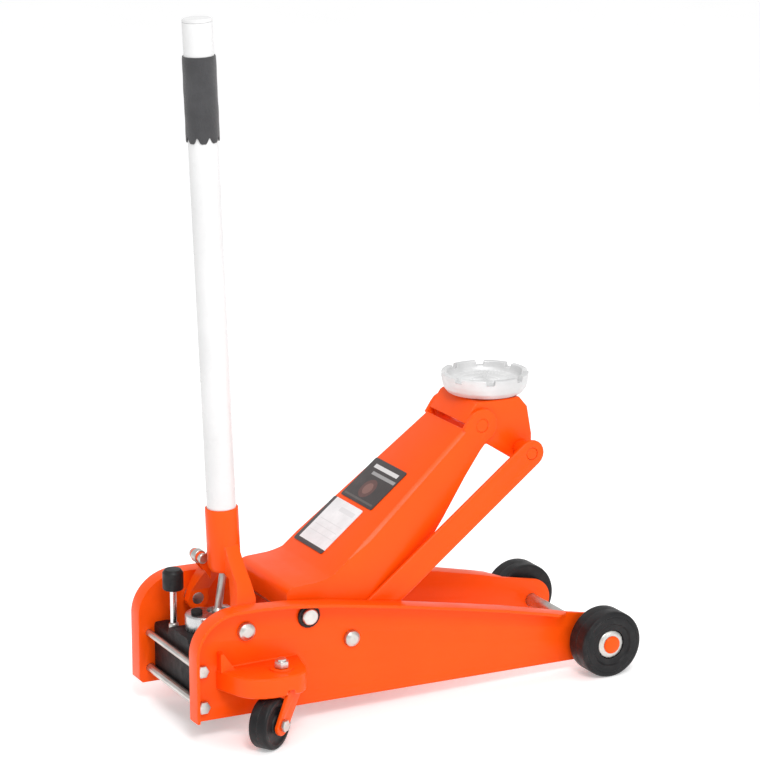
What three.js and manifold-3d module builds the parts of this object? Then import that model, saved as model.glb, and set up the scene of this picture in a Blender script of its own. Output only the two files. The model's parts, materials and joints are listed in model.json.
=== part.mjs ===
// Hydraulic trolley jack. Units are millimetres, +Z is up and +X points to the front wheels and the saddle.
// Inside the "chassis" group X counts from the rear edge of the side plates, Y from the middle plane and
// Z from the floor. The chassis group is shifted so that the origin is at the middle of the bounding box.
import * as THREE from 'three';
import { mergeVertices } from 'three/addons/utils/BufferGeometryUtils.js';
import Module from 'manifold-3d';

const wasm = await Module();
wasm.setup();

// ---- driving dimensions ----
const GAP = 0.3;                 // running gap between neighbouring pieces
const FLAT = 0.24;   // how far the flats of a 14-sided bore stand in from its corners
const MID_X = 317.35;            // middle of the object's length, measured from the plates' rear edge
const PLATE_OUT = 82;            // outer face of a side plate, from the middle plane
const PLATE_T = 5;
const PLATE_IN = PLATE_OUT - PLATE_T;
const LIP_W = 18.5;              // lip that turns outwards along the plate's edge
const LIP_T = 4;
const AXLE = { x: 589.7, z: 45, r: 9 };
const WHEEL = { r: 45, inner: 92.6, outer: 129.6 };
const SHAFT = { x: 163.7, z: 143.5, r: 14, endR: 11 };
const LINK_PIN = { x: 224.6, z: 103.5, r: 8 };
const HEAD_PIN = { x: 433.2, z: 348.2, r: 9 };
const LINK_TOP = { x: HEAD_PIN.x + LINK_PIN.x - SHAFT.x, z: HEAD_PIN.z + LINK_PIN.z - SHAFT.z };
const LINK = { in: 71.6, out: 76.6, half: 18 };
const ARM = {
  wide: 70.8, narrow: 52, wall: 5, slope: 0.7895, xTop: 411, zTop: 349.4,
  taperStart: 258, sheetEnd: 406, fold: 3,
};
const HEAD = { half: 46.3, wall: 5, top: 378 };
const SADDLE = { x: 466.7, r: 57.3, bottom: 378.3, top: 405.8 };
const RAM = { z: 86.4, r: 26, tail: 76, pinX: 177, pinR: 9, headHalf: 16 };
const RAM_PIN_Z = 82.9;
const UNIT = {
  rear: 21, flangeFront: 44, front: 102.7, half: 33, wide: 74.5, top: 119, shoulder: 110, foot: 40,
};
const PUMP_HEAD = { x: 56, r: 23.5, front: 98, half: 18, top: 140 };
const VALVE = { x: 76, z: 138 };
const PLUNGER = { x: 32.7, y: 40, r: 4.5, foot: 100, top: 163, capR: 13.5, capTop: 190 };
const YOKE = { x: 76, z: 138, eyeR: 15, in: 58, out: 70 };
const HANDLE = { x: 88.8, z: 138, lean: 2.14 * Math.PI / 180, r: 18.7, bottom: 72, top: 754 };
const SOCKET = { bottom: 62, top: 139, in: 19, out: 21.3 };
const ROLLER = { x: 69, z: 202, r: 9, y0: 34.4, y1: 45.6 };
const GRIP = { z0: 607, z1: 713, r: 22.3 };
const KINGPIN = { x: 107.5, y: 118.6, r: 6 };
const CASTER = { r: 33, half: 12.5, trail: 30, deckTop: 73.5, deckBottom: 68.5 };
const SWIVEL_NEAR = -33 * Math.PI / 180;  // how far each caster is turned from straight ahead
const SWIVEL_FAR = 147 * Math.PI / 180;

const colours = {
  orange: 0xf0551d, steel: 0xc9c9c6, black: 0x1d1d1f, rubber: 0x2b2b2d, white: 0xf0f0ee,
  grey: 0x5a5a5c, label: 0x4a4344, silver: 0xdadada,
};

// ---- small helpers ----
const toSolid = (geometry) => {
  const g = geometry.clone();
  g.deleteAttribute('normal');
  g.deleteAttribute('uv');
  const m = mergeVertices(g, 1e-4);
  const mesh = new wasm.Mesh({
    numProp: 3,
    vertProperties: new Float32Array(m.attributes.position.array),
    triVerts: new Uint32Array(m.index.array),
  });
  mesh.merge();
  return new wasm.Manifold(mesh);
};

const toGeometry = (solid) => {
  const m = solid.getMesh();
  const g = new THREE.BufferGeometry();
  g.setAttribute('position', new THREE.BufferAttribute(new Float32Array(m.vertProperties), 3));
  g.setIndex(new THREE.BufferAttribute(new Uint32Array(m.triVerts), 1));
  return g;
};

const union = (...parts) => toGeometry(parts.map(toSolid).reduce((a, b) => a.add(b)));
const cut = (base, ...tools) => toGeometry(tools.map(toSolid).reduce((a, b) => a.subtract(b), toSolid(base)));
const common = (a, b) => toGeometry(toSolid(a).intersect(toSolid(b)));

const piece = (parent, name, geometry, colour, metalness = 0.1, roughness = 0.5) => {
  const flat = geometry.index ? geometry.toNonIndexed() : geometry;
  flat.computeVertexNormals();
  const material = new THREE.MeshStandardMaterial({ color: colours[colour], metalness, roughness });
  const mesh = new THREE.Mesh(flat, material);
  mesh.name = name;
  parent.add(mesh);
  return mesh;
};

const box = (x0, x1, y0, y1, z0, z1) =>
  new THREE.BoxGeometry(x1 - x0, y1 - y0, z1 - z0).translate((x0 + x1) / 2, (y0 + y1) / 2, (z0 + z1) / 2);

// A closed profile of [radius, height] points turned about +Z.
const turned = (profile, segments = 14) => {
  const points = profile.map(([r, h]) => new THREE.Vector2(r, h));
  return new THREE.LatheGeometry(points, segments).rotateX(Math.PI / 2);
};
const closed = (profile) => [...profile, profile[0]];

// Solid or hollow round bars. The axis runs from a to b along +Z or along +Y.
const barZ = (x, y, r, a, b, segments = 14) =>
  turned([[0, a], [r, a], [r, b], [0, b]], segments).translate(x, y, 0);
const turnY = (profile, x, z, segments = 14) =>
  turned(profile, segments).rotateX(-Math.PI / 2).translate(x, 0, z);
const barY = (x, z, r, a, b, segments = 14) => turnY([[0, a], [r, a], [r, b], [0, b]], x, z, segments);
const barX = (y, z, r, a, b, segments = 14) =>
  turned([[0, a], [r, a], [r, b], [0, b]], segments).rotateY(Math.PI / 2).translate(0, y, z);

const shapeOf = (points) => new THREE.Shape(points.map(([a, b]) => new THREE.Vector2(a, b)));

// Extrudes an outline drawn in X and Z from y0 to y1.
const slabXZ = (shape, y0, y1, bevel = 0, curve = 5) => {
  const g = new THREE.ExtrudeGeometry(shape, {
    depth: y1 - y0 - 2 * bevel, bevelEnabled: bevel > 0, bevelThickness: bevel, bevelSize: bevel,
    bevelOffset: -bevel, bevelSegments: 1, curveSegments: curve,
  });
  return g.translate(0, 0, bevel).rotateX(Math.PI / 2).translate(0, y1, 0);
};
// Extrudes an outline drawn in X and Y from z0 to z1.
const slabXY = (shape, z0, z1, bevel = 0) => {
  const g = new THREE.ExtrudeGeometry(shape, {
    depth: z1 - z0 - 2 * bevel, bevelEnabled: bevel > 0, bevelThickness: bevel, bevelSize: bevel,
    bevelOffset: -bevel, bevelSegments: 1, curveSegments: 5,
  });
  return g.translate(0, 0, z0 + bevel);
};
// Extrudes an outline drawn in Y and Z from x0 to x1.
const slabYZ = (shape, x0, x1) => {
  const g = new THREE.ExtrudeGeometry(shape, { depth: x1 - x0, bevelEnabled: false, curveSegments: 5 });
  return g.rotateX(Math.PI / 2).rotateZ(Math.PI / 2).translate(x0, 0, 0);
};
const roundedRect = (x0, x1, y0, y1, r) => {
  const s = new THREE.Shape();
  s.moveTo(x0 + r, y0).lineTo(x1 - r, y0).absarc(x1 - r, y0 + r, r, -Math.PI / 2, 0);
  s.lineTo(x1, y1 - r).absarc(x1 - r, y1 - r, r, 0, Math.PI / 2);
  s.lineTo(x0 + r, y1).absarc(x0 + r, y1 - r, r, Math.PI / 2, Math.PI);
  s.lineTo(x0, y0 + r).absarc(x0 + r, y0 + r, r, Math.PI, 1.5 * Math.PI);
  return s;
};
// A bar outline with round ends between two pivots.
const strapShape = (a, b, r) => {
  const t = Math.atan2(b.z - a.z, b.x - a.x);
  const s = new THREE.Shape();
  s.absarc(a.x, a.z, r, t + Math.PI / 2, t + 1.5 * Math.PI);
  s.absarc(b.x, b.z, r, t - Math.PI / 2, t + Math.PI / 2);
  return s;
};
const hex = (r) =>
  [0, 1, 2, 3, 4, 5].map((i) => [r * Math.cos(i * Math.PI / 3), r * Math.sin(i * Math.PI / 3)]);
const hexY = (x, z, r, y0, y1) => slabXZ(shapeOf(hex(r).map(([a, b]) => [x + a, z + b])), y0, y1, 0.8);
const mirrorY = (geometry) => {
  const g = toSolid(geometry).mirror([0, 1, 0]);
  return toGeometry(g);
};
const sides = [['near', -1], ['far', 1]];
const onSide = (geometry, side) => (side < 0 ? geometry : mirrorY(geometry));

// ---- frame ----
const topEdge = [
  [57.7, 171.3], [95, 170.3], [131, 167.5], [194.7, 158.6], [295.7, 140], [384.5, 122],
  [444.8, 109.1], [506, 94.6], [545, 84.3],
];

const plateOutline = () => {
  const s = new THREE.Shape();
  s.moveTo(4, 29).lineTo(AXLE.x, 14).absarc(AXLE.x, AXLE.z, 29, -Math.PI / 2, 1.25);
  for (const [x, z] of [...topEdge].reverse()) s.lineTo(x, z);
  s.absellipse(57.7, 118, 57.7, 53.3, Math.PI / 2, Math.PI).lineTo(0, 33).lineTo(4, 29);
  return s;
};

// The strip under the rear arc and the top edge that the lip is made from.
const lipOutline = () => {
  const s = new THREE.Shape();
  s.moveTo(0, 33);
  s.lineTo(0, 118).absellipse(57.7, 118, 57.7, 53.3, Math.PI, Math.PI / 2, true);
  for (const [x, z] of topEdge.slice(1)) s.lineTo(x, z);
  s.lineTo(544, 84.3 - LIP_T);
  for (const [x, z] of topEdge.slice(1, -1).reverse()) s.lineTo(x, z - LIP_T);
  s.lineTo(57.7, 171.3 - LIP_T);
  s.absellipse(57.7, 118, 57.7 - LIP_T, 53.3 - LIP_T, Math.PI / 2, Math.PI).lineTo(LIP_T, 33).lineTo(0, 33);
  return s;
};

const sidePlate = () => {
  const web = slabXZ(plateOutline(), -PLATE_OUT, -PLATE_IN, 0, 10);
  const lip = slabXZ(lipOutline(), -PLATE_OUT - LIP_W, -PLATE_OUT + 1, 0, 10);
  const corner = slabXY(shapeOf([[545.5, -PLATE_OUT - LIP_W - 1], [545.5, -PLATE_OUT - 3],
    [525, -PLATE_OUT - LIP_W - 1]]), 60, 110);
  const holes = [
    [AXLE.x, AXLE.z, AXLE.r], [SHAFT.x, SHAFT.z, SHAFT.endR], [LINK_PIN.x, LINK_PIN.z, LINK_PIN.r],
    [YOKE.x, YOKE.z, 8], [14.3, 95.8, 4.5], [15.3, 48.1, 5.5],
  ].map(([x, z, r]) => barY(x, z, r + GAP, -PLATE_OUT - 1, -PLATE_IN + 1, 14));
  return cut(union(web, lip), corner, ...holes);
};

const tieRod = (x, z, r) => union(
  barY(x, z, r, -PLATE_OUT - 4, PLATE_OUT + 4, 10),
  hexY(x, z, 8.6, -PLATE_OUT - 7, -PLATE_OUT - GAP),
  hexY(x, z, 8.6, PLATE_OUT + GAP, PLATE_OUT + 7),
);

const casterBracket = () => {
  const outline = (inset) => {
    const s = new THREE.Shape();
    const y = -PLATE_OUT - GAP - (inset ? -2 : 0);
    s.moveTo(34 + inset, y).lineTo(44 + inset, -112)
      .quadraticCurveTo(52 + inset, -142 + inset, 84, -146 + inset);
    s.lineTo(118, -146 + inset).quadraticCurveTo(137 - inset, -142 + inset, 142 - inset, -112);
    s.lineTo(149 - inset, y).lineTo(34 + inset, y);
    return s;
  };
  const shell = cut(slabXY(outline(0), 68, 94, 1.6), slabXY(outline(4), 60, 88.5));
  const boss = barZ(KINGPIN.x, -KINGPIN.y, 17, CASTER.deckTop + GAP, 90, 14);
  const gusset = slabXZ(shapeOf([[36, 93], [56, 93], [40, 117], [36, 117]]),
    -PLATE_OUT - 12, -PLATE_OUT - GAP);
  const pad = barZ(KINGPIN.x, -KINGPIN.y, 15, 92, 96.5, 14);
  const forkRoom = turned(closed([[18, 60], [28, 60], [28, CASTER.deckTop + 1.5],
    [18, CASTER.deckTop + 1.5]]), 24)
    .translate(KINGPIN.x, -KINGPIN.y, 0);
  return cut(union(shell, boss, gusset, pad),
    barZ(KINGPIN.x, -KINGPIN.y, KINGPIN.r + GAP, 60, 110, 12), forkRoom);
};

const kingpin = () => union(
  barZ(0, 0, KINGPIN.r, 62, 108, 10),
  barZ(0, 0, 9, 62, CASTER.deckBottom - GAP, 10),
  slabXY(shapeOf(hex(9.8)), 96.8, 105.5, 0.8),
);

// The fork and its wheel are drawn straight: the pin at the origin and the wheel trailing towards -X.
const casterFork = () => {
  const deck = cut(slabXY(roundedRect(-17, 17, -19.5, 19.5, 9), CASTER.deckBottom, CASTER.deckTop),
    barZ(0, 0, KINGPIN.r + GAP, 60, 80, 12));
  const leg = new THREE.Shape();
  leg.moveTo(14, CASTER.deckTop).lineTo(13, 60).lineTo(-CASTER.trail + 12.5, 26);
  leg.absarc(-CASTER.trail, CASTER.r, 13.5, -0.6, -Math.PI, true).lineTo(-14, CASTER.deckTop - 2);
  leg.lineTo(-12, CASTER.deckTop).lineTo(14, CASTER.deckTop);
  const legs = [[-19.5, -14.5], [14.5, 19.5]].map(([a, b]) => slabXZ(leg, a, b, 0.8));
  const bore = barY(-CASTER.trail, CASTER.r, 5.3, -25, 25, 10);
  return cut(union(deck, ...legs), bore);
};

const casterWheel = () => {
  const { r, half } = CASTER;
  return turnY(closed([
    [5.6, -half], [12, -half], [13, -half + 1.5], [r - 8, -half + 1.5], [r - 6, -half], [r - 2, -half],
    [r, -half + 3], [r, half - 3], [r - 2, half], [r - 6, half], [r - 8, half - 1.5], [13, half - 1.5],
    [12, half], [5.6, half],
  ]), -CASTER.trail, r, 20);
};

const casterAxle = () => union(
  barY(-CASTER.trail, CASTER.r, 5, -22, 22, 10),
  hexY(-CASTER.trail, CASTER.r, 8, -25, -19.8),
  hexY(-CASTER.trail, CASTER.r, 8, 19.8, 25),
);

const frontWheel = () => {
  const { r, inner, outer } = WHEEL;
  return turnY(closed([
    [AXLE.r + GAP, -outer + 7], [19.6, -outer + 7], [19.6, -outer + 2.5], [27, -outer + 2.5], [29, -outer],
    [r - 4, -outer], [r, -outer + 4], [r, -inner - 4], [r - 4, -inner], [24, -inner], [22, -inner - 3],
    [17, -inner - 3], [17, -PLATE_OUT - 0.5], [AXLE.r + GAP, -PLATE_OUT - 0.5],
  ]), AXLE.x, AXLE.z, 26);
};

const hubWasher = () => turnY(closed([
  [AXLE.r + GAP, -WHEEL.outer + 6.7], [AXLE.r + GAP, -WHEEL.outer + 1.5], [14, -WHEEL.outer + 1.5],
  [17.6, -WHEEL.outer + 2.8], [19.2, -WHEEL.outer + 4], [19.2, -WHEEL.outer + 6.7],
]), AXLE.x, AXLE.z, 16);

const axleCap = () => turnY([
  [0, -132.2], [6, -132.2], [10.5, -131], [12.2, -129.2], [12.2, -128.3], [0, -128.3],
], AXLE.x, AXLE.z, 14);

const armShaft = () => turnY([
  [0, -90], [SHAFT.endR - 1.5, -90], [SHAFT.endR, -88.5], [SHAFT.endR, -PLATE_IN + GAP],
  [SHAFT.r, -PLATE_IN + GAP],
  [SHAFT.r, PLATE_IN - GAP], [SHAFT.endR, PLATE_IN - GAP], [SHAFT.endR, 88.5],
  [SHAFT.endR - 1.5, 90], [0, 90],
], SHAFT.x, SHAFT.z, 16);

const shaftRing = () => turnY(closed([
  [SHAFT.endR + GAP, -PLATE_OUT - GAP], [SHAFT.endR + GAP, -PLATE_OUT - 3.8], [14.6, -PLATE_OUT - 3.8],
  [15.4, -PLATE_OUT - 3], [15.4, -PLATE_OUT - GAP],
]), SHAFT.x, SHAFT.z, 16);

// A domed bolt head outside the plate; the shank stops at the given inner face.
const plateBolt = ({ x, z }, shank, headR, inner) => {
  const head = turnY([
    [0, -PLATE_OUT - 8], [headR * 0.55, -PLATE_OUT - 8], [headR - 1, -PLATE_OUT - 5.5],
    [headR, -PLATE_OUT - 3.5],
    [headR, -PLATE_OUT - GAP], [0, -PLATE_OUT - GAP],
  ], x, z, 16);
  return union(head, barY(x, z, shank, -PLATE_OUT - 4, -inner, 12));
};

// The yoke's pivot bolt has a shoulder that fills the gap between the plate and the yoke's leg.
const yokeBolt = () => union(plateBolt(YOKE, 8, 12, YOKE.in),
  barY(YOKE.x, YOKE.z, 12, -PLATE_IN + GAP, -YOKE.out - GAP, 12));

const buildFrame = (parent) => {
  for (const [name, side] of sides) {
    piece(parent, `side_plate_${name}`, onSide(sidePlate(), side), 'orange');
    piece(parent, `caster_bracket_${name}`, onSide(casterBracket(), side), 'orange');
    const pin = piece(parent, `kingpin_${name}`, kingpin(), 'steel', 0.9, 0.35);
    pin.position.set(KINGPIN.x, side * KINGPIN.y, 0);
    piece(parent, `shaft_ring_${name}`, onSide(shaftRing(), side), 'black', 0.4);
    const linkBolt = plateBolt(LINK_PIN, LINK_PIN.r, 11, LINK.in);
    piece(parent, `link_bolt_${name}`, onSide(linkBolt, side), 'steel', 0.9, 0.35);
    piece(parent, `yoke_bolt_${name}`, onSide(yokeBolt(), side), 'steel', 0.9, 0.35);
    piece(parent, `axle_cap_${name}`, onSide(axleCap(), side), 'orange');
    piece(parent, `hub_washer_${name}`, onSide(hubWasher(), side), 'steel', 0.9, 0.3);
  }
  piece(parent, 'tie_rod_upper', tieRod(14.3, 95.8, 4.5), 'steel', 0.9, 0.35);
  piece(parent, 'tie_rod_lower', tieRod(15.3, 48.1, 5.5), 'steel', 0.9, 0.35);
  piece(parent, 'front_axle', barY(AXLE.x, AXLE.z, AXLE.r, -128, 128, 16), 'steel', 0.9, 0.35);
  piece(parent, 'arm_shaft', armShaft(), 'steel', 0.9, 0.3);
};

// ---- hydraulic unit ----
const unitBody = () => {
  const u = UNIT;
  const barrel = slabYZ(roundedRect(-u.half, u.half, 50, u.top, 12), u.rear, u.front);
  const flange = slabXZ(roundedRect(u.rear, u.flangeFront, u.foot, u.shoulder, 4), -u.wide, u.wide);
  const ribs = [-54, 54].map((y) => box(u.flangeFront - 1, 66, y - 4, y + 4, u.foot + 8, 92));
  const webs = [-1, 1].map((s) =>
    box(u.flangeFront - 1, 66, Math.min(s * 30, s * 58), Math.max(s * 30, s * 58), 60, 66));
  return cut(union(barrel, flange, ...ribs, ...webs),
    barX(0, RAM.z, RAM.r + GAP, u.rear + 5, u.front + 1, 16),
    barZ(PLUNGER.x, PLUNGER.y, PLUNGER.r + GAP, 60, u.shoulder + 1, 12));
};

const pumpHead = () => {
  const p = PUMP_HEAD;
  const round = turned([
    [0, UNIT.top + GAP], [p.r, UNIT.top + GAP], [p.r, p.top - 1.5], [p.r - 1.5, p.top], [0, p.top],
  ], 24).translate(p.x, 0, 0);
  const block = slabXY(roundedRect(p.x, p.front, -p.half, p.half, 7), UNIT.top + GAP, p.top, 1.2);
  return cut(union(round, block),
    barZ(VALVE.x, 0, 14, 124, p.top + 1, 16), barZ(VALVE.x, 0, 5.3, UNIT.top - 1, 126, 12));
};

const gland = () => turned(closed([
  [RAM.r + GAP, UNIT.front + GAP], [32.5, UNIT.front + GAP], [32.5, 108], [30, 111], [RAM.r + GAP, 111],
]), 16).rotateY(Math.PI / 2).translate(0, 0, RAM.z);

const fillerPlug = () => turned([
  [0, PUMP_HEAD.top + GAP], [7.5, PUMP_HEAD.top + GAP], [7.5, 144.5], [6.5, 146], [0, 146],
], 12).translate(47, 0, 0);

const pumpCollar = () => turned(closed([
  [PLUNGER.r + GAP, UNIT.shoulder + GAP], [6.7, UNIT.shoulder + GAP], [6.7, 116], [5.8, 118],
    [PLUNGER.r + GAP, 118],
]), 14).translate(PLUNGER.x, PLUNGER.y, 0);

const buildUnit = (parent) => {
  piece(parent, 'hydraulic_unit', unitBody(), 'black', 0.3, 0.55);
  piece(parent, 'pump_head', pumpHead(), 'silver', 0.8, 0.4);
  piece(parent, 'ram_gland', gland(), 'steel', 0.9, 0.3);
  piece(parent, 'filler_plug', fillerPlug(), 'rubber', 0, 0.8);
  piece(parent, 'pump_collar', pumpCollar(), 'steel', 0.9, 0.35);
};

const ramBody = () => {
  const rod = barX(0, RAM.z, RAM.r, RAM.tail, RAM.pinX - RAM.headHalf + 4, 16);
  const head = slabXZ(roundedRect(RAM.pinX - RAM.headHalf, RAM.pinX + RAM.headHalf,
    64.5, 109, 7), -26, 26, 1.5);
  const slot = slabXZ(roundedRect(RAM.pinX - 11, RAM.pinX + 11, 70, 103.5, 9.5), -30, 30);
  return cut(union(rod, head), slot);
};

const plunger = () => turned([
  [0, PLUNGER.foot], [PLUNGER.r, PLUNGER.foot], [PLUNGER.r, PLUNGER.top + 7.7], [0, PLUNGER.top + 7.7],
], 12).translate(PLUNGER.x, PLUNGER.y, 0);

const plungerCap = () => turned(closed([
  [PLUNGER.r + GAP, PLUNGER.top], [PLUNGER.capR - 1.5, PLUNGER.top], [PLUNGER.capR, PLUNGER.top + 1.5],
  [PLUNGER.capR, PLUNGER.capTop - 4], [PLUNGER.capR - 3, PLUNGER.capTop], [0, PLUNGER.capTop],
  [0, PLUNGER.top + 8], [PLUNGER.r + GAP, PLUNGER.top + 8],
]), 16).translate(PLUNGER.x, PLUNGER.y, 0);

const BALL = 7.5;
const arcPoints = (r, from, to, n, z = 0) =>
  Array.from({ length: n + 1 }, (_, i) => from + (to - from) * i / n)
      .map((a) => [r * Math.sin(a), z + r * Math.cos(a)]);

const valveStem = () => turned([
  [0, UNIT.top + 2 * GAP], [5, UNIT.top + 2 * GAP], [5, 124.4], [11.5, 124.4], [11.5, 136.5],
  ...arcPoints(BALL + GAP, 1.75, Math.PI, 5, VALVE.z),
], 14).translate(VALVE.x, 0, 0);

// ---- lift arm ----
const armTop = (x) => ARM.zTop + ARM.slope * (x - ARM.xTop);

const armOutline = () => {
  const s = new THREE.Shape();
  s.moveTo(139, 131).lineTo(139, 168).quadraticCurveTo(140, 179, 152, 180).lineTo(180, 181);
  s.quadraticCurveTo(192, 182, 204, armTop(204)).lineTo(404, armTop(404));
  s.lineTo(414, 359).absarc(HEAD_PIN.x, HEAD_PIN.z, 22, 2.62, -1.2, true);
  s.lineTo(430, 315).lineTo(372, 233).quadraticCurveTo(345, 196, 300, 158);
  s.lineTo(214, 92).quadraticCurveTo(196, 66, 177, 66).absarc(RAM.pinX, RAM_PIN_Z, 17, -1.57, -2.9, true);
  s.lineTo(150, 118).lineTo(139, 131);
  return s;
};

// What is taken out between the arm's side walls: all but the top sheet and the short rear sheet.
const armCavity = () => {
  const t = ARM.wall;
  return shapeOf([
    [100, 20], [100, 149], [139 + t, 149], [139 + t, 166], [147, 173], [156, 175.5], [180, 176], [191, 177],
    [205, armTop(205) - t * 1.27], [ARM.sheetEnd, armTop(ARM.sheetEnd) - t * 1.27],
    [ARM.sheetEnd, 420], [520, 420], [520, 20],
  ]);
};

const armPlan = (inset) => {
  const a = ARM.wide - inset;
  const b = ARM.narrow - inset;
  return shapeOf([[120, -a], [ARM.taperStart, -a], [ARM.xTop - 3, -b], [480, -b], [480, b],
    [ARM.xTop - 3, b], [ARM.taperStart, a], [120, a]]);
};

// Cuts back the folded edge between the top sheet and a side wall. It fades out below the taper.
const armFold = (s) => {
  const length = ARM.xTop - 3 - ARM.taperStart;
  const narrowing = ARM.wide - ARM.narrow;
  const along = new THREE.Vector3(length, -s * narrowing, length * ARM.slope).normalize();
  const wallOut = new THREE.Vector3(narrowing, s * length, 0).normalize();
  const out = new THREE.Vector3(-ARM.slope, 0, 1).normalize().add(wallOut).normalize();
  const turn = new THREE.Matrix4().makeBasis(along, out.clone().cross(along), out);
  const y = s * (ARM.wide - narrowing * (ARM.sheetEnd - ARM.taperStart) / length);
  const end = new THREE.Vector3(ARM.sheetEnd, y, armTop(ARM.sheetEnd)).addScaledVector(out, -ARM.fold);
  return box(-260, 0, -40, 40, 0, 40).applyMatrix4(turn.setPosition(end));
};

const liftArm = () => {
  const outer = common(slabXZ(armOutline(), -90, 90), slabXY(armPlan(0), 20, 420));
  const inner = common(slabXZ(armCavity(), -90, 90), slabXY(armPlan(ARM.wall), 10, 430));
  const stiffener = box(262, 268, -67, 67, 176, 230);
  const bosses = sides.map(([, s]) =>
    barY(SHAFT.x, SHAFT.z, 24, s < 0 ? -ARM.wide + 1 : ARM.wide - 14,
      s < 0 ? -ARM.wide + 14 : ARM.wide - 1, 16));
  return cut(union(cut(outer, inner), stiffener, ...bosses),
    barY(SHAFT.x, SHAFT.z, SHAFT.r + GAP, -90, 90, 16),
    barY(HEAD_PIN.x, HEAD_PIN.z, HEAD_PIN.r + GAP, -90, 90, 14),
    barY(RAM.pinX, RAM_PIN_Z, RAM.pinR + GAP, -90, 90, 14), armFold(-1), armFold(1));
};

const ramPin = () => turnY([
  [0, -ARM.wide + 0.4], [RAM.pinR - 1, -ARM.wide + 0.4], [RAM.pinR, -ARM.wide + 1.4],
  [RAM.pinR, ARM.wide - 1.4],
  [RAM.pinR - 1, ARM.wide - 0.4], [0, ARM.wide - 0.4],
], RAM.pinX, RAM_PIN_Z, 14);

const headPin = () => turnY([
  [0, -ARM.narrow], [HEAD_PIN.r - 0.6, -ARM.narrow], [HEAD_PIN.r, -ARM.narrow + 0.6],
  [HEAD_PIN.r, ARM.narrow - 0.6], [HEAD_PIN.r - 0.6, ARM.narrow], [0, ARM.narrow],
], HEAD_PIN.x, HEAD_PIN.z, 14);

// A thin plate on the arm's top sheet, from distance a to b measured from X 200 along the slope.
const armLabel = (a, b, y0, y1) => {
  const plate = slabXY(roundedRect(a, b, y0, y1, 3), GAP, GAP + 0.9);
  return plate.rotateY(-Math.atan(ARM.slope)).translate(200, 0, armTop(200));
};

const buildArm = (parent) => {
  piece(parent, 'lift_arm', liftArm(), 'orange');
  piece(parent, 'ram_pin', ramPin(), 'steel', 0.9, 0.35);
  piece(parent, 'head_pin', headPin(), 'orange');
  piece(parent, 'arm_label_dark', armLabel(106, 174, -27, 56.5), 'label', 0, 0.4);
  piece(parent, 'arm_label_light', armLabel(22, 100, -15, 63.5), 'white', 0, 0.4);
};

const link = (side) => {
  const shape = strapShape(LINK_PIN, LINK_TOP, LINK.half);
  const bar = slabXZ(shape, -LINK.out, -LINK.in, 0.9);
  const clear = LINK_PIN.r + GAP + FLAT;
  const bores = [LINK_PIN, LINK_TOP].map((p) => barY(p.x, p.z, clear, -90, -60, 14));
  return onSide(cut(bar, ...bores), side);
};

// ---- head and saddle ----
const headOutline = () => {
  const s = new THREE.Shape();
  s.moveTo(409.8, 353.6).lineTo(425, 375.5).lineTo(429, HEAD.top).lineTo(492, HEAD.top);
  s.lineTo(504, 364).lineTo(LINK_TOP.x + 17, 326).lineTo(LINK_TOP.x + 17, LINK_TOP.z);
  s.absarc(LINK_TOP.x, LINK_TOP.z, 17, 0, -2.16, true);
  s.absarc(HEAD_PIN.x, HEAD_PIN.z, 17, -2.16, -3.2, true).lineTo(409.8, 353.6);
  return s;
};

const headBracket = () => {
  const outer = slabXZ(headOutline(), -HEAD.half, HEAD.half, 1);
  const cavity = slabXZ(shapeOf([
    [395, 250], [395, 345], [413.5, 345], [413.5, 351], [428.3, 372], [486, 372], [499, 357], [505.5, 330],
    [505.5, 250],
  ]), -HEAD.half + HEAD.wall, HEAD.half - HEAD.wall);
  return cut(outer, cavity,
    barY(HEAD_PIN.x, HEAD_PIN.z, HEAD_PIN.r + GAP, -60, 60, 14),
    barY(LINK_TOP.x, LINK_TOP.z, LINK_PIN.r + GAP, -60, 60, 14),
    barZ(SADDLE.x, 0, 15.3, 340, 400, 16));
};

const topPin = () => turnY([
  [0, -LINK.out + 0.2], [LINK_PIN.r, -LINK.out + 0.2], [LINK_PIN.r, -LINK.in + GAP], [12, -LINK.in + GAP],
  [12, -HEAD.half - GAP], [LINK_PIN.r, -HEAD.half - GAP], [LINK_PIN.r, -HEAD.half + HEAD.wall + 3],
  [0, -HEAD.half + HEAD.wall + 3],
], LINK_TOP.x, LINK_TOP.z, 14);

const saddle = () => {
  const { r, bottom, top } = SADDLE;
  const cup = turned([
    [0, 352], [12, 352], [15, 355], [15, bottom], [r - 14, bottom], [r - 5, bottom + 5],
    [r - 1.2, bottom + 14],
    [r, top - 1], [r - 1, top], [r - 6.5, top], [r - 7.5, top - 1], [r - 9, top - 9],
    [r - 13, top - 12], [0, top - 12],
  ], 26);
  const notches = Array.from({ length: 4 }, (_, i) =>
    box(-80, 80, -4.5, 4.5, top - 6, top + 5).rotateZ((i + 0.5) * Math.PI / 4));
  return cut(cup, ...notches);
};

const saddleClip = () => turned(closed([
  [15.6, 367], [19, 367], [19, 371], [15.6, 371],
]), 14).translate(SADDLE.x, 0, 0);

const buildHead = (parent) => {
  piece(parent, 'saddle_bracket', headBracket(), 'orange');
  for (const [name, side] of sides) piece(parent, `link_top_pin_${name}`, onSide(topPin(), side), 'orange');
  const cup = piece(parent, 'saddle', saddle(), 'silver', 0.3, 0.5);
  cup.position.x = SADDLE.x;
  piece(parent, 'saddle_clip', saddleClip(), 'steel', 0.9, 0.35);
};

// ---- handle group: local Z runs up the handle from the height of the yoke pivots ----
const toLocal = ({ x, z }) => {
  const dx = x - HANDLE.x;
  const dz = z - HANDLE.z;
  const c = Math.cos(HANDLE.lean);
  const s = Math.sin(HANDLE.lean);
  return { x: dx * c + dz * s, z: dz * c - dx * s };
};

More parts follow.
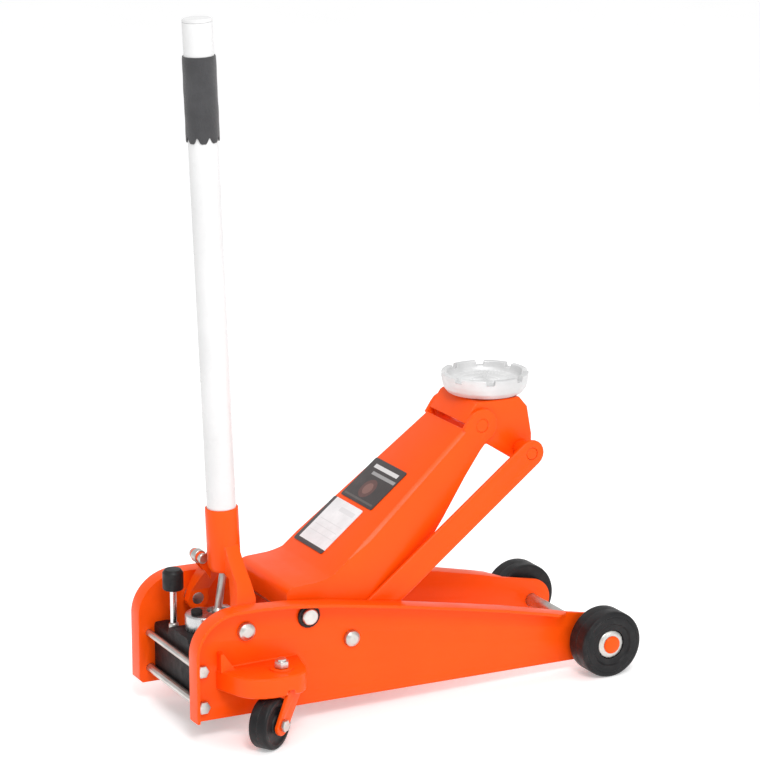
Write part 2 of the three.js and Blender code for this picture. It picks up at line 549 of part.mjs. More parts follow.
const yoke = () => {
  const pivot = toLocal(YOKE);
  const roller = toLocal(ROLLER);
  const arch = shapeOf([
    [0, 96], [21, 92], [34, 71], [52, 51], [66, 30], [YOKE.out, 16], [YOKE.out, -20],
    [YOKE.in, -20], [YOKE.in, 12],
    [45, 32], [28, 52], [0, 58], [-28, 52], [-45, 32], [-YOKE.in, 12], [-YOKE.in, -20], [-YOKE.out, -20],
    [-YOKE.out, 16], [-66, 30], [-52, 51], [-34, 71], [-21, 92],
  ]);
  const side = new THREE.Shape();
  side.moveTo(11, 98).lineTo(12, 34).lineTo(pivot.x + 14.2, pivot.z + 5);
  side.absarc(pivot.x, pivot.z, YOKE.eyeR, 0.33, -3.0, true);
  side.lineTo(-14, 34).lineTo(-7.6, 52).lineTo(-7.6, 98).lineTo(11, 98);
  const straps = common(slabYZ(arch, -60, 60), slabXZ(side, -90, 90));
  const tube = turned([[0, SOCKET.bottom - 6],
    [SOCKET.out - 3, SOCKET.bottom - 6], [SOCKET.out, SOCKET.bottom],
    [SOCKET.out, SOCKET.top - 1], [SOCKET.out - 1, SOCKET.top], [0, SOCKET.top]], 20);
  const cheek = new THREE.Shape();
  cheek.moveTo(-6, 34).lineTo(roller.x - 7, roller.z - 1).absarc(roller.x, roller.z, 7.2, Math.PI, 0.3, true);
  cheek.lineTo(-6, 62).lineTo(-6, 34);
  const cheeks = [[29.8, 34], [46, 50.2]].map(([a, b]) => slabXZ(cheek, a, b));
  const tools = [
    barZ(0, 0, SOCKET.in, SOCKET.bottom, SOCKET.top + 1, 20), barZ(0, 0, 12.5, 30, SOCKET.bottom + 1, 16),
    barY(pivot.x, pivot.z, 8 + GAP, -80, 80, 12), barY(roller.x, roller.z, 4.3, 20, 60, 10),
    barY(0, 112, 4.3, 15, 30, 10),
  ];
  return cut(union(straps, tube, ...cheeks), ...tools);
};

const rollerWheel = () => {
  const p = toLocal(ROLLER);
  return turnY(closed([
    [4.6, ROLLER.y0], [ROLLER.r - 1, ROLLER.y0], [ROLLER.r, ROLLER.y0 + 1], [ROLLER.r, ROLLER.y1 - 1],
    [ROLLER.r - 1, ROLLER.y1], [4.6, ROLLER.y1],
  ]), p.x, p.z, 14);
};

const rollerPin = () => {
  const p = toLocal(ROLLER);
  return turnY([
    [0, 24.5], [5.5, 24.5], [7, 26], [7, 29.5], [4, 29.5], [4, 50.5], [7, 50.5], [7, 54], [0, 54],
  ], p.x, p.z, 12);
};

const retainingScrew = () => turnY([
  [0, HANDLE.r + GAP], [4, HANDLE.r + GAP], [4, 22], [8.5, 22], [8.5, 25],
  [6.5, 26], [6.5, 32], [5.5, 33], [0, 33],
], 0, 112, 12);

const tubeProfile = () => {
  const { r, bottom, top } = HANDLE;
  return closed([[r - 2.5, bottom], [r, bottom], [r, top], [r - 2.5, top]]);
};

// The plug closes the tube's lower end and carries the cup that turns the valve's drive shaft.
const drivePlug = () => turned([
  ...arcPoints(5.5 + GAP, 0, 1.35, 6, 62), [9.5, 63.2], [9.5, HANDLE.bottom - GAP],
  [HANDLE.r - 2.5 - GAP, HANDLE.bottom - GAP], [HANDLE.r - 2.5 - GAP, 90], [0, 90],
], 16);

const grip = () => {
  const { z0, z1, r } = GRIP;
  const inner = HANDLE.r + GAP;
  const sleeve = turned(closed([
    [inner, z0], [r - 1, z0], [r, z0 + 1], [r, z1 - 2.5], [r - 2.5, z1], [inner, z1],
  ]), 20);
  const notches = Array.from({ length: 4 }, (_, i) =>
    box(-40, 40, -3, 3, z0 - 5, z0 + 8).rotateZ(i * Math.PI / 4));
  return cut(sleeve, ...notches);
};

const endCap = () => {
  const { r, top } = HANDLE;
  return turned([
    [0, top - 22], [r - 3.6, top - 22], [r - 2.8, top - 20],
    [r - 2.8, top + GAP], [r, top + GAP], [r, top + 3],
    [r - 2, top + 4.5], [0, top + 4.5],
  ], 16);
};

const driveShaft = (from, to) => {
  const length = Math.hypot(to.x - from.x, to.z - from.z);
  const neck = Math.asin(5 / BALL);
  const neckTop = Math.asin(4 / 5.5);
  const profile = [
    ...arcPoints(BALL, Math.PI, neck, 6), [5, length - 12], [4, length - 10],
    ...arcPoints(5.5, Math.PI - neckTop, 0, 5, length),
  ];
  return { geometry: turned(profile, 12), tilt: Math.atan2(to.x - from.x, to.z - from.z) };
};

const buildHandle = (parent) => {
  const leaning = new THREE.Group();
  leaning.name = 'handle_frame';
  leaning.position.set(HANDLE.x, 0, HANDLE.z);
  leaning.rotation.y = -HANDLE.lean;
  parent.add(leaning);
  piece(leaning, 'handle_yoke', yoke(), 'orange');
  piece(leaning, 'pump_roller', rollerWheel(), 'steel', 0.9, 0.35);
  piece(leaning, 'roller_pin', rollerPin(), 'steel', 0.9, 0.3);
  piece(leaning, 'retaining_screw', retainingScrew(), 'steel', 0.9, 0.35);
  piece(leaning, 'handle_tube', turned(tubeProfile(), 20), 'white', 0.1, 0.4);
  piece(leaning, 'handle_drive_plug', drivePlug(), 'steel', 0.9, 0.4);
  piece(leaning, 'handle_grip', grip(), 'grey', 0, 0.85);
  piece(leaning, 'handle_end_cap', endCap(), 'white', 0, 0.6);
  const joint = toLocal(VALVE);
  const { geometry, tilt } = driveShaft(joint, { x: 0, z: 62 });
  const shaft = piece(leaning, 'valve_drive_shaft', geometry, 'steel', 0.9, 0.3);
  shaft.position.set(joint.x, 0, joint.z);
  shaft.rotation.y = tilt;
};

const buildCaster = (parent, name, side, swivel) => {
  const turning = new THREE.Group();
  turning.name = `caster_frame_${name}`;
  turning.position.set(KINGPIN.x, side * KINGPIN.y, 0);
  turning.rotation.z = -swivel;
  parent.add(turning);
  piece(turning, `caster_fork_${name}`, casterFork(), 'orange');
  piece(turning, `caster_axle_${name}`, casterAxle(), 'steel', 0.9, 0.35);
  piece(turning, `caster_wheel_${name}`, casterWheel(), 'rubber', 0, 0.7);
};

const root = new THREE.Group();
root.name = 'trolley_jack';
const chassis = new THREE.Group();
chassis.name = 'chassis';
chassis.position.x = -MID_X;
root.add(chassis);

buildFrame(chassis);
buildUnit(chassis);
piece(chassis, 'ram', ramBody(), 'steel', 0.9, 0.2);
piece(chassis, 'pump_plunger', plunger(), 'steel', 0.9, 0.25);
piece(chassis, 'plunger_cap', plungerCap(), 'black', 0, 0.6);
piece(chassis, 'release_valve_stem', valveStem(), 'steel', 0.9, 0.35);
buildArm(chassis);
for (const [name, side] of sides) {
  piece(chassis, `link_${name}`, link(side), 'orange');
  piece(chassis, `front_wheel_${name}`, onSide(frontWheel(), side), 'rubber', 0, 0.7);
}
buildHead(chassis);
buildHandle(chassis);
buildCaster(chassis, 'near', -1, SWIVEL_NEAR);
buildCaster(chassis, 'far', 1, SWIVEL_FAR);

export default root;
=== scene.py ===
"""Looks, light and camera for the hydraulic trolley jack. Metres, +Z up, +X towards the saddle."""
import json
import math

import bpy
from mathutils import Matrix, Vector


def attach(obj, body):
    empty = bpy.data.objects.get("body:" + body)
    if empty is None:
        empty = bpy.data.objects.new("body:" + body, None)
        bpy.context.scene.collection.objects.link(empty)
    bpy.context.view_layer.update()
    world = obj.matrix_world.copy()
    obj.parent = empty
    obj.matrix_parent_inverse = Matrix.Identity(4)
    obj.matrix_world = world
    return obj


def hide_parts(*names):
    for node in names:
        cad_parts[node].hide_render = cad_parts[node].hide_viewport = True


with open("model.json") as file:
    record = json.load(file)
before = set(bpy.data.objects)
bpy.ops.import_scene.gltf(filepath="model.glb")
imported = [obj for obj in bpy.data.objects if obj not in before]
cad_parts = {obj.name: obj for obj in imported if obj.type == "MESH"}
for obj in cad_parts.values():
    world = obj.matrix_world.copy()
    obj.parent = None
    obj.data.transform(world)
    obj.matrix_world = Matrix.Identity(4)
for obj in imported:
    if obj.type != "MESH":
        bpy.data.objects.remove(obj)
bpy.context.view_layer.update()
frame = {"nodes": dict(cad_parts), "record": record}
NODES = frame["nodes"]
SCENE = bpy.context.scene

MM = 0.001
MID_X = 317.35                      # the CAD measures X from the plates' rear edge, in millimetres
AXLE_X, AXLE_Z = 589.7, 45
SADDLE_X = 466.7
LEAN = math.radians(2.14)           # of the handle, rearwards
SHEET_SLOPE = math.atan(0.7895)     # of the arm's top sheet
PLATE_FACE = 82.6                   # a weld bead's centre, just outside a side plate
CASTERS = {                         # each caster wheel's centre and axle direction, in metres
    "near": ((-0.23501, -0.13494, 0.033), (-0.54464, 0.83867, 0)),
    "far": ((-0.18469, 0.13494, 0.033), (0.54464, -0.83867, 0)),
}
HANDLE_FOOT = Vector(((88.8 - MID_X) * MM, 0, 0.138))
HANDLE_AXIS = Vector((-math.sin(LEAN), 0, math.cos(LEAN)))
UP = Vector((0, 0, 1))


def at(x, y, z):
    """A point given in the CAD's millimetres."""
    return Vector(((x - MID_X) * MM, y * MM, z * MM))


# ---------------------------------------------------------------- node helpers
class Nodes:
    """Short names for building one material's node tree."""

    def __init__(self, name):
        self.material = bpy.data.materials.new(name)
        self.material.use_nodes = True
        self.tree = self.material.node_tree
        self.shader = self.tree.nodes["Principled BSDF"]
        self.coords = self.add("ShaderNodeTexCoord").outputs["Object"]

    def add(self, kind, **settings):
        node = self.tree.nodes.new(kind)
        for key, value in settings.items():
            setattr(node, key, value)
        return node

    def link(self, value, socket):
        if isinstance(value, bpy.types.NodeSocket):
            self.tree.links.new(value, socket)
        else:
            socket.default_value = value

    def math(self, operation, *values, clamp=False):
        node = self.add("ShaderNodeMath", operation=operation, use_clamp=clamp)
        for value, socket in zip(values, node.inputs):
            self.link(value, socket)
        return node.outputs[0]

    def noise(self, scale, detail=3.0, rough=0.55, vector=None, stretch=None):
        node = self.add("ShaderNodeTexNoise")
        source = self.coords if vector is None else vector
        if stretch:
            mapping = self.add("ShaderNodeMapping")
            mapping.inputs["Scale"].default_value = stretch
            self.link(source, mapping.inputs["Vector"])
            source = mapping.outputs[0]
        self.link(source, node.inputs["Vector"])
        node.inputs["Scale"].default_value = scale
        node.inputs["Detail"].default_value = detail
        node.inputs["Roughness"].default_value = rough
        return node.outputs["Fac"]

    def cells(self, scale):
        node = self.add("ShaderNodeTexVoronoi", feature="F1")
        self.link(self.coords, node.inputs["Vector"])
        node.inputs["Scale"].default_value = scale
        return node.outputs["Distance"]

    def remap(self, value, low, high, out_low=0.0, out_high=1.0):
        node = self.add("ShaderNodeMapRange")
        keys = ("Value", "From Min", "From Max", "To Min", "To Max")
        for v, key in zip((value, low, high, out_low, out_high), keys):
            self.link(v, node.inputs[key])
        return node.outputs[0]

    def mix(self, factor, a, b):
        node = self.add("ShaderNodeMix", data_type="RGBA")
        self.link(factor, node.inputs["Factor"])
        for value, key in ((a, "A"), (b, "B")):
            socket = [s for s in node.inputs if s.name == key and s.type == "RGBA"][0]
            self.link((*value, 1) if isinstance(value, tuple) else value, socket)
        return [s for s in node.outputs if s.type == "RGBA"][0]

    def bump(self, height, distance, strength=1.0, normal=None):
        node = self.add("ShaderNodeBump")
        self.link(height, node.inputs["Height"])
        node.inputs["Distance"].default_value = distance
        node.inputs["Strength"].default_value = strength
        if normal is not None:
            self.link(normal, node.inputs["Normal"])
        return node.outputs[0]

    def edges(self, radius=0.0012):
        """1 on a narrow band along every edge, 0 on the flats."""
        soft = self.add("ShaderNodeBevel", samples=4)
        soft.inputs["Radius"].default_value = radius
        dot = self.add("ShaderNodeVectorMath", operation="DOT_PRODUCT")
        self.link(soft.outputs[0], dot.inputs[0])
        self.link(self.add("ShaderNodeNewGeometry").outputs["Normal"], dot.inputs[1])
        return self.remap(dot.outputs["Value"], 0.99, 0.9)

    def finish(self, colour, rough, normal=None, metallic=0.0, **fixed):
        s = self.shader.inputs
        self.link((*colour, 1) if isinstance(colour, tuple) else colour, s["Base Color"])
        self.link(rough, s["Roughness"])
        self.link(metallic, s["Metallic"])
        if normal is not None:
            self.link(normal, s["Normal"])
        for key, value in fixed.items():
            s[key.replace("_", " ")].default_value = value
        return self.material


def shade(colour, factor):
    return tuple(min(1.0, c * factor) for c in colour)


# ---------------------------------------------------------------- materials
def paint(name, colour, rough=0.34, peel=0.00005, wear=0.25, coat=0.03, gloss=0.16):
    """Sprayed paint: orange peel, uneven tone, faint scuffs and a trace of wear on the edges."""
    n = Nodes(name)
    tone = n.remap(n.noise(9, 4), 0.3, 0.7)
    base = n.mix(tone, shade(colour, 0.93), shade(colour, 1.05))
    dust = n.math("MULTIPLY", n.remap(n.noise(60, 6, 0.65), 0.56, 0.8), 0.07)
    base = n.mix(dust, base, shade(colour, 0.45))
    scuff = n.remap(n.noise(35, 8, 0.75, stretch=(1.0, 1.0, 7.0)), 0.62, 0.78)
    chipped = n.math("MULTIPLY", n.edges(), n.remap(n.noise(240, 5, 0.7), 0.52, 0.62))
    chipped = n.math("MULTIPLY", chipped, wear)
    base = n.mix(chipped, base, (0.32, 0.29, 0.27))
    roughness = n.math("ADD", n.remap(n.noise(22, 5), 0.3, 0.7, rough - 0.05, rough + 0.07),
                       n.math("MULTIPLY", scuff, 0.14))
    fine = n.bump(n.noise(750, 2), peel)
    normal = n.bump(n.noise(60, 2), 0.00018, 0.5, fine)
    return n.finish(base, roughness, normal, Coat_Weight=coat, Coat_Roughness=0.12,
                    Specular_IOR_Level=gloss)


def metal(name, colour, rough=0.3, grain=(1.0, 1.0, 14.0), dark=0.72, depth=0.00003):
    """Plated or machined steel with a fine grain and patches of handling."""
    n = Nodes(name)
    blotch = n.remap(n.noise(28, 6, 0.7), 0.35, 0.75)
    base = n.mix(blotch, colour, shade(colour, dark))
    base = n.mix(n.math("MULTIPLY", n.remap(n.noise(300, 4), 0.6, 0.75), 0.25), base, (0.3, 0.26, 0.22))
    roughness = n.remap(n.noise(120, 5, 0.6, stretch=grain), 0.3, 0.7, rough - 0.08, rough + 0.14)
    normal = n.bump(n.noise(700, 2, stretch=grain), depth)
    return n.finish(base, roughness, normal, metallic=1.0)


def cast(name, colour, rough=0.5, grain=0.00025, metallic=0.0, worn=None, gloss=0.5):
    """Painted casting: sandy grain under the paint."""
    n = Nodes(name)
    base = n.mix(n.remap(n.noise(14, 5), 0.3, 0.7), shade(colour, 0.82), shade(colour, 1.12))
    if worn:
        mask = n.math("MULTIPLY", n.edges(), n.remap(n.noise(160, 5, 0.7), 0.46, 0.62))
        base = n.mix(n.math("MULTIPLY", mask, 0.6), base, worn)
    roughness = n.remap(n.noise(90, 5), 0.3, 0.7, rough - 0.08, rough + 0.12)
    fine = n.bump(n.noise(900, 4, 0.7), grain)
    normal = n.bump(n.noise(130, 3), grain * 1.4, 0.7, fine)
    return n.finish(base, roughness, normal, metallic=metallic, Specular_IOR_Level=gloss)


def moulded(name, colour, rough=0.45, gloss=0.25):
    """Moulded nylon or rubber: fine grain, dusty scuffs and pale marks on the edges."""
    n = Nodes(name)
    dust = n.remap(n.noise(45, 7, 0.7), 0.48, 0.78)
    base = n.mix(n.math("MULTIPLY", dust, 0.12), colour, (0.16, 0.15, 0.14))
    scuffs = n.math("MULTIPLY", n.edges(), n.remap(n.noise(200, 5, 0.7), 0.4, 0.65))
    base = n.mix(n.math("MULTIPLY", scuffs, 0.35), base, (0.14, 0.14, 0.14))
    roughness = n.remap(n.noise(70, 6), 0.3, 0.75, rough - 0.1, rough + 0.2)
    fine = n.bump(n.noise(1400, 3), 0.00006)
    normal = n.bump(n.noise(90, 3), 0.00025, 0.5, fine)
    return n.finish(base, roughness, normal, Specular_IOR_Level=gloss)


def foam(name, colour):
    """Dense closed-cell foam with open pores at its skin, with painted shade darkening the pits of the pores.
    """
    n = Nodes(name)
    pores = n.remap(n.cells(1100), 0.05, 0.5)
    base = n.mix(n.remap(n.noise(30, 5), 0.3, 0.7), shade(colour, 0.8), shade(colour, 1.25))
    # painted shade: the colour is darkened towards the pits of the pores
    base = n.mix(n.math("SUBTRACT", 1.0, pores, clamp=True), base, shade(colour, 0.45))
    normal = n.bump(pores, 0.0003, 0.8, n.bump(n.noise(220, 4), 0.0006, 0.6))
    return n.finish(base, 0.92, normal, Sheen_Weight=0.25, Sheen_Roughness=0.5)


class LabelCoords:
    """Distances on the arm's top sheet: along is up the slope and across is Y, both in millimetres."""

    def __init__(self, nodes):
        self.n = nodes
        start = at(200, 0, 182.8)
        dot = nodes.add("ShaderNodeVectorMath", operation="DOT_PRODUCT")
        nodes.link(nodes.coords, dot.inputs[0])
        direction = Vector((math.cos(SHEET_SLOPE), 0, math.sin(SHEET_SLOPE)))
        dot.inputs[1].default_value = direction
        offset = nodes.math("SUBTRACT", dot.outputs["Value"], start.dot(direction))
        self.along = nodes.math("MULTIPLY", offset, 1000.0)
        parts = nodes.add("ShaderNodeSeparateXYZ")
        nodes.link(nodes.coords, parts.inputs[0])
        self.across = nodes.math("MULTIPLY", parts.outputs["Y"], 1000.0)

    def box(self, a0, a1, c0, c1):
        n = self.n
        sides = [n.math("GREATER_THAN", self.along, float(a0)), n.math("LESS_THAN", self.along, float(a1)),
                 n.math("GREATER_THAN", self.across, float(c0)), n.math("LESS_THAN", self.across, float(c1))]
        inside = sides[0]
        for side in sides[1:]:
            inside = n.math("MULTIPLY", inside, side)
        return inside

    def disc(self, a, c, radius):
        n = self.n
        da, dc = n.math("SUBTRACT", self.along, float(a)), n.math("SUBTRACT", self.across, float(c))
        far = n.math("ADD", n.math("MULTIPLY", da, da), n.math("MULTIPLY", dc, dc))
        return n.math("LESS_THAN", far, float(radius * radius))


def label(name, ground, patches):
    """A printed film label with plain blocks of tone. Each patch is (mask arguments, colour)."""
    n = Nodes(name)
    place = LabelCoords(n)
    base = n.mix(n.remap(n.noise(50, 5), 0.3, 0.7), shade(ground, 0.92), shade(ground, 1.06))
    for mask, colour in patches:
        base = n.mix(place.disc(*mask) if len(mask) == 3 else place.box(*mask), base, colour)
    dust = n.math("MULTIPLY", n.remap(n.noise(140, 6, 0.7), 0.6, 0.8), 0.25)
    base = n.mix(dust, base, (0.35, 0.3, 0.28))
    return n.finish(base, n.remap(n.noise(80, 4), 0.3, 0.7, 0.28, 0.45), n.bump(n.noise(160, 3), 0.0001, 0.5))


ORANGE = (0.95, 0.085, 0.002)
GREY_INK, PALE_INK, FAINT_INK = (0.3, 0.29, 0.29), (0.62, 0.6, 0.6), (0.68, 0.67, 0.68)

MATERIALS = {
    "orange_paint": paint("orange_paint", ORANGE),
    "zinc_steel": metal("zinc_steel", (0.66, 0.65, 0.62), 0.34),
    "black_paint": paint("black_paint", (0.018, 0.018, 0.02), 0.4, wear=0.5),
    "black_casting": cast("black_casting", (0.008, 0.008, 0.009), 0.5, worn=(0.16, 0.15, 0.14),
                          gloss=0.22),
    "machined_alloy": metal("machined_alloy", (0.68, 0.68, 0.68), 0.26, (1.0, 9.0, 1.0)),
    "chromed_steel": metal("chromed_steel", (0.75, 0.75, 0.76), 0.14, dark=0.9, depth=0.00001),
    "black_rubber": moulded("black_rubber", (0.012, 0.012, 0.012), 0.7),
    "black_plastic": moulded("black_plastic", (0.008, 0.008, 0.009), 0.4),
    "black_wheel": moulded("black_wheel", (0.008, 0.008, 0.009), 0.42),
    "silver_casting": cast("silver_casting", (0.68, 0.68, 0.68), 0.42, 0.0002, 0.35,
                           worn=(0.5, 0.5, 0.5)),
    "white_paint": paint("white_paint", (0.72, 0.72, 0.72), 0.28, wear=0.1, coat=0.25),
    "white_plastic": moulded("white_plastic", (0.7, 0.7, 0.7), 0.4, 0.5),
    "grey_foam": foam("grey_foam", (0.048, 0.048, 0.051)),
    "dark_label": label("dark_label", (0.045, 0.036, 0.036), [
        ((160, 166, -18, 44), PALE_INK), ((150, 155, -24, 36), GREY_INK),
        ((130, 16, 15), (0.11, 0.05, 0.045)), ((130, 16, 9), (0.2, 0.1, 0.085)),
        ((110, 113, -22, 52), (0.1, 0.085, 0.08)),
    ]),
    "light_label": label("light_label", (0.78, 0.77, 0.78), [
        ((22, 100, 56, 66), (0.06, 0.05, 0.05)), ((22, 28, -66, 66), (0.06, 0.045, 0.045)),
        ((44, 45.2, -8, 50), FAINT_INK), ((54, 55.2, -8, 50), FAINT_INK), ((64, 65.2, -8, 50), FAINT_INK),
        ((84, 91, -8, 30), FAINT_INK),
    ]),
}
SLOT_OF = {s["node"]: s["material_slot"] for s in frame["record"]["subparts"]}


# ---------------------------------------------------------------- CAD nodes: rounded edges and smooth shading
def smoothing_group(limit):
    """A geometry node group that shades smooth and keeps edges over the limit sharp."""
    group = bpy.data.node_groups.new("smooth_by_angle", "GeometryNodeTree")
    group.interface.new_socket("Geometry", in_out="INPUT", socket_type="NodeSocketGeometry")
    group.interface.new_socket("Geometry", in_out="OUTPUT", socket_type="NodeSocketGeometry")
    start, end = group.nodes.new("NodeGroupInput"), group.nodes.new("NodeGroupOutput")
    faces, edges = (group.nodes.new("GeometryNodeSetShadeSmooth") for _ in range(2))
    faces.domain, edges.domain = "FACE", "EDGE"
    faces.inputs["Shade Smooth"].default_value = True
    edges.inputs["Shade Smooth"].default_value = False
    angle = group.nodes.new("GeometryNodeInputMeshEdgeAngle")
    sharp = group.nodes.new("FunctionNodeCompare")
    sharp.data_type, sharp.operation = "FLOAT", "GREATER_THAN"
    sharp.inputs[1].default_value = limit
    link = group.links.new
    link(start.outputs[0], faces.inputs[0])
    link(faces.outputs[0], edges.inputs[0])
    link(angle.outputs["Unsigned Angle"], sharp.inputs[0])
    link(sharp.outputs[0], edges.inputs["Selection"])
    link(edges.outputs[0], end.inputs[0])
    return group


SMOOTH = smoothing_group(math.radians(38))
BEVEL_MM = {"handle_tube": 0.4, "handle_drive_plug": 0.3, "valve_drive_shaft": 0.2, "saddle_clip": 0.2,
            "arm_label_dark": 0.15, "arm_label_light": 0.15, "front_axle": 0.4, "pump_plunger": 0.3}
BEVEL_DEFAULT_MM = {"orange_paint": 1.0, "black_casting": 1.6, "zinc_steel": 0.5}


def dress(node):
    obj = NODES[node]
    slot = SLOT_OF[node]
    obj.data.materials.clear()
    obj.data.materials.append(MATERIALS[slot])
    weld = obj.modifiers.new("weld", "WELD")
    weld.merge_threshold = 2e-6
    flat = obj.modifiers.new("flat", "DECIMATE")
    flat.decimate_type, flat.angle_limit = "DISSOLVE", math.radians(0.6)
    bevel = obj.modifiers.new("bevel", "BEVEL")
    bevel.limit_method, bevel.angle_limit = "ANGLE", math.radians(30)
    bevel.width = BEVEL_MM.get(node, BEVEL_DEFAULT_MM.get(slot, 0.6)) * MM
    bevel.segments, bevel.use_clamp_overlap = 3, True
    smooth = obj.modifiers.new("smooth", "NODES")
    smooth.node_group = SMOOTH


for node_name in NODES:
    dress(node_name)


# ---------------------------------------------------------------- mesh pieces
def make(name, verts, faces, body, slot, replaced=(), sharp=38):
    mesh = bpy.data.meshes.new(name)
    mesh.from_pydata([tuple(v) for v in verts], [], faces)
    mesh.validate()
    mesh.polygons.foreach_set("use_smooth", [True] * len(mesh.polygons))
    mesh.set_sharp_from_angle(angle=math.radians(sharp))
    mesh.materials.append(MATERIALS[slot])
    obj = bpy.data.objects.new(name, mesh)
    SCENE.collection.objects.link(obj)
    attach(obj, body)
    if replaced:
        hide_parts(*replaced)
    return obj


def rounded(profile, radius, steps=3):
    """Rounds each corner of a closed profile of [radius, height] points."""
    out, count = [], len(profile)
    for i, point in enumerate(profile):
        p = Vector(point)
        a, b = Vector(profile[i - 1]), Vector(profile[(i + 1) % count])
        da, db = a - p, b - p
        cut = min(radius, da.length * 0.45, db.length * 0.45)
        start, end = p + da.normalized() * cut, p + db.normalized() * cut
        for k in range(steps + 1):
            t = k / steps
            out.append(start * (1 - t) ** 2 + p * 2 * t * (1 - t) + end * t * t)
    return out


def turned(name, profile, origin, axis, body, slot, replaced=(), segments=96, vary=None,
           side=None):
    """Turns a closed profile in millimetres about an axis. vary(point, angle) may move a point of it."""
    axis = Vector(axis).normalized()
    side = Vector(side) if side else axis.orthogonal().normalized()
    other = axis.cross(side)
    origin = Vector(origin)
    rings = len(profile)
    verts, faces = [], []
    for i in range(segments):
        angle = 2 * math.pi * i / segments
        spoke = side * math.cos(angle) + other * math.sin(angle)
        for r, h in (vary(p, angle) if vary else p for p in profile):
            verts.append(origin + spoke * r * MM + axis * h * MM)
    for i in range(segments):
        a, b = i * rings, (i + 1) % segments * rings
        for k in range(rings):
            m = (k + 1) % rings
            faces.append((a + k, b + k, b + m, a + m))
    return make(name, verts, faces, body, slot, replaced)


def bead(name, points, radius, body, slot="orange_paint"):
    """A weld bead: a rippled, flattened cord laid along a line of points in millimetres."""
    path = [at(*p) for p in points]
    length = sum((b - a).length for a, b in zip(path, path[1:]))
    steps = max(8, int(length / (0.9 * MM)))
    verts, faces, sides = [], [], 8
    for i in range(steps + 1):
        want = length * i / steps
        for a, b in zip(path, path[1:]):
            run = (b - a).length
            if want <= run + 1e-9:
                break
            want -= run
        centre, along = a.lerp(b, min(1.0, want / run)), (b - a).normalized()
        u = along.orthogonal().normalized()
        w = along.cross(u)
        taper = min(1.0, 0.35 + 3.0 * min(i, steps - i) / steps)
        r = radius * MM * taper * (1 + 0.13 * math.cos(i * 2.1) + 0.05 * math.sin(i * 0.7))
        verts += [centre + (u * math.cos(t) + w * math.sin(t)) * r for t in
                  (2 * math.pi * k / sides for k in range(sides))]
    for i in range(steps):
        for k in range(sides):
            m = (k + 1) % sides
            a, b = i * sides, (i + 1) * sides
            faces.append((a + k, a + m, b + m, b + k))
    faces.append(tuple(range(sides))[::-1])
    faces.append(tuple(steps * sides + k for k in range(sides)))
    return make(name, verts, faces, body, slot, sharp=60)


# ---- wheels ----
def front_wheel(name, side):
    hub = [(9.3, 122.6), (19.6, 122.6), (19.6, 127.1), (27, 127.1), (28.2, 128.4), (29, 129.6), (37.2, 129.6),
           (37.6, 129.0), (38.4, 129.0), (38.8, 129.6), (41, 129.6), (44.2, 128.2), (45, 125.6), (45, 111.6),
           (44.7, 111.3), (44.7, 110.9), (45, 110.6), (45, 96.6), (44.2, 94), (41, 92.6), (29, 92.6),
           (26, 94.2), (22, 95.6), (17, 95.6), (17, 82.5), (9.3, 82.5)]
    turned(name, rounded(hub, 1.0), at(AXLE_X, 0, AXLE_Z), (0, side, 0), name, "black_wheel", [name], 112)


def caster_wheel(name, origin, axis):
    half = 12.5
    outer = [(5.6, half), (12, half), (13, half - 2), (21.5, half - 2.4), (24, half - 1.6), (26.5, half),
             (30.5, half), (32.4, half - 1.6), (33, half - 4), (33, 0.4), (32.75, 0.2)]
    profile = outer + [(r, -h) for r, h in reversed(outer)]
    turned(name, rounded(profile, 0.9), origin, axis, name, "black_wheel", [name], 96)


# ---- saddle ----
def saddle():
    notch, deep = math.radians(5.2), 6.0     # half a notch's width, and its depth
    top, floor_z = 405.8, 390.0
    rim_r, boss_r = 46, 6                    # notches lie outside rim_r, and the fine ribs inside it

    def cut(point, angle):
        r, h = point
        step = math.pi / 4
        if abs(angle % step - step / 2) < notch and r > rim_r:
            h = min(h, top - deep)
        ripple = 0.35 * math.cos(angle * 48) if rim_r > r > boss_r and h > floor_z else 0.0
        return r, h + ripple

    profile = [(0.4, 352), (12, 352), (15, 355), (15, 378.3), (43.3, 378.3), (50, 380.4), (54.2, 386),
               (56.1, 393), (57.1, 400.5), (57.3, 405), (56.6, top), (50.8, top), (50, 405), (48.7, 398),
               (46.8, 394.6),
               (44.3, 393.8), (36, 393.8), (35, 393.2), (33, 393.2), (32, 393.8), (20, 393.8), (19, 393.2),
               (17, 393.2), (16, 393.8), (0.4, 393.8)]
    turned("saddle_cup", rounded(profile, 0.7), at(SADDLE_X, 0, 0), UP, "saddle", "silver_casting",
           ["saddle"], 288, cut, (1, 0, 0))


# ---- handle ----
def handle():
    inner, outer = 16.2, 18.7
    tube_low, tube_top = 72, 754
    tube = [(inner, tube_low), (outer, tube_low), (outer, tube_top), (inner, tube_top)]
    turned("handle_tube_painted", rounded(tube, 0.8), HANDLE_FOOT, HANDLE_AXIS, "handle", "white_paint",
           ["handle_tube"], 96)

    low, top, scallop_top = 607, 713, 616
    bore, lip, skin_r = 19.0, 20.2, 20.8

    def scallop(point, angle):
        """Cuts teeth into the lower edge and gives the skin a slight swell."""
        r, h = point
        swell = 0.12 * math.sin(angle * 5 + h * 0.11) + 0.1 * math.sin(h * 0.23 + angle * 2)
        if h < scallop_top:
            h += 7.5 * (0.5 + 0.5 * math.cos(angle * 8)) ** 3 * (scallop_top - h) / (scallop_top - low)
        return (r + swell if r > 20 else r), h

    heights = [609, 613, 617] + [620 + 6 * i for i in range(15)] + [708, 711]
    skin = [(bore, low), (lip, low)] + [(skin_r, h) for h in heights] + [(lip, top), (bore, top)]
    grip = turned("handle_grip_foam", rounded(skin, 1.2), HANDLE_FOOT, HANDLE_AXIS, "handle", "grey_foam",
                  ["handle_grip"], 96, scallop)


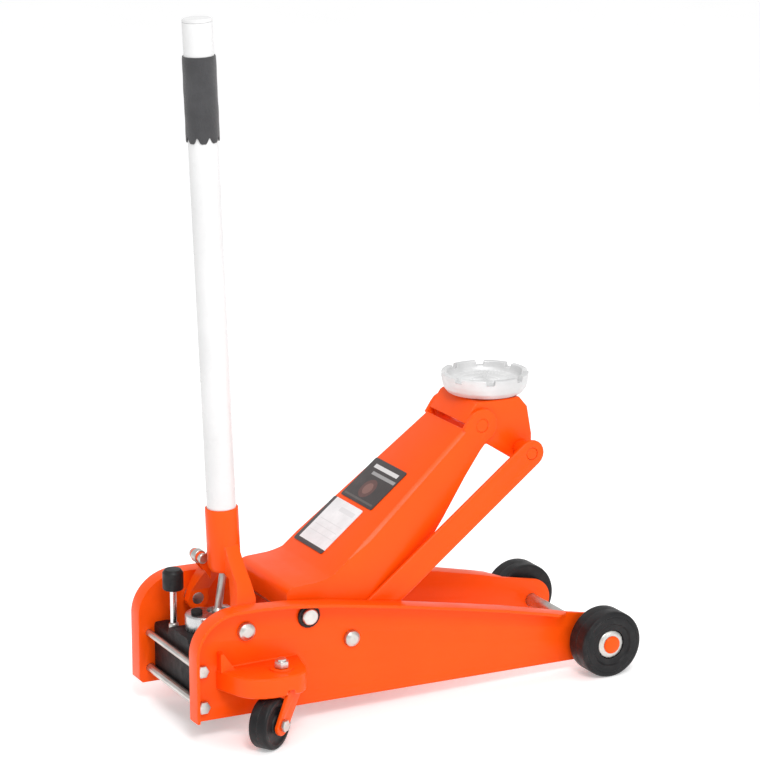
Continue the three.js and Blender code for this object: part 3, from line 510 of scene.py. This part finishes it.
front_wheel("front_wheel_near", -1)
front_wheel("front_wheel_far", 1)
for caster_side, (centre, axle) in CASTERS.items():
    caster_wheel(f"caster_wheel_{caster_side}", centre, axle)
saddle()
handle()

# ---- weld beads ----
for bead_side, sign in (("near", -1), ("far", 1)):
    y = sign * PLATE_FACE
    bead(f"bracket_weld_{bead_side}", [(40, y, 94.4), (146, y, 94.4)], 2.2, "chassis")
    bead(f"gusset_weld_{bead_side}", [(37, y, 116), (55, y, 94.5)], 1.6, "chassis")


# ---------------------------------------------------------------- camera, floor and light
def camera():
    data = bpy.data.cameras.new("camera")
    data.sensor_width, data.lens = 36.0, 139.81
    data.clip_start, data.clip_end = 0.1, 60.0
    obj = bpy.data.objects.new("camera", data)
    SCENE.collection.objects.link(obj)
    target = Vector((-0.00665, 0.0, 0.4129))
    obj.location = Vector((-1.7438, -3.2206, 1.3968))
    obj.rotation_mode = "QUATERNION"
    obj.rotation_quaternion = (target - obj.location).to_track_quat("-Z", "Y")
    SCENE.camera = obj


def floor():
    size = 14.0
    mesh = bpy.data.meshes.new("floor")
    corners = [(-size, -size, 0), (size, -size, 0), (size, size, 0), (-size, size, 0)]
    mesh.from_pydata(corners, [], [(0, 1, 2, 3)])
    n = Nodes("floor")
    tone = n.mix(n.remap(n.noise(3, 4), 0.3, 0.7), (0.93, 0.93, 0.93), (0.95, 0.95, 0.95))
    n.shader.inputs["Emission Color"].default_value = (1, 1, 1, 1)
    grain = n.bump(n.noise(120, 3), 0.0002, 0.3)
    mesh.materials.append(n.finish(tone, 0.75, grain, Emission_Strength=0.3))
    obj = bpy.data.objects.new("floor", mesh)
    SCENE.collection.objects.link(obj)


def area_light(name, location, target, size, power):
    data = bpy.data.lights.new(name, "AREA")
    data.shape, data.size, data.energy = "DISK", size, power
    obj = bpy.data.objects.new(name, data)
    SCENE.collection.objects.link(obj)
    obj.location = location
    obj.rotation_mode = "QUATERNION"
    obj.rotation_quaternion = (Vector(target) - Vector(location)).to_track_quat("-Z", "Y")


def lights():
    world = bpy.data.worlds.new("studio")
    world.use_nodes = True
    world.node_tree.nodes["Background"].inputs["Color"].default_value = (1.0, 1.0, 1.0, 1)
    world.node_tree.nodes["Background"].inputs["Strength"].default_value = 0.72
    SCENE.world = world
    middle = (0, 0, 0.25)
    area_light("key", (-1.0, -2.6, 3.0), middle, 1.2, 62)
    area_light("front", (1.2, -3.0, 1.2), middle, 2.0, 14)
    area_light("top", (0.2, 0.3, 3.0), middle, 2.2, 18)


camera()
floor()
lights()
SCENE.view_settings.view_transform = "Standard"
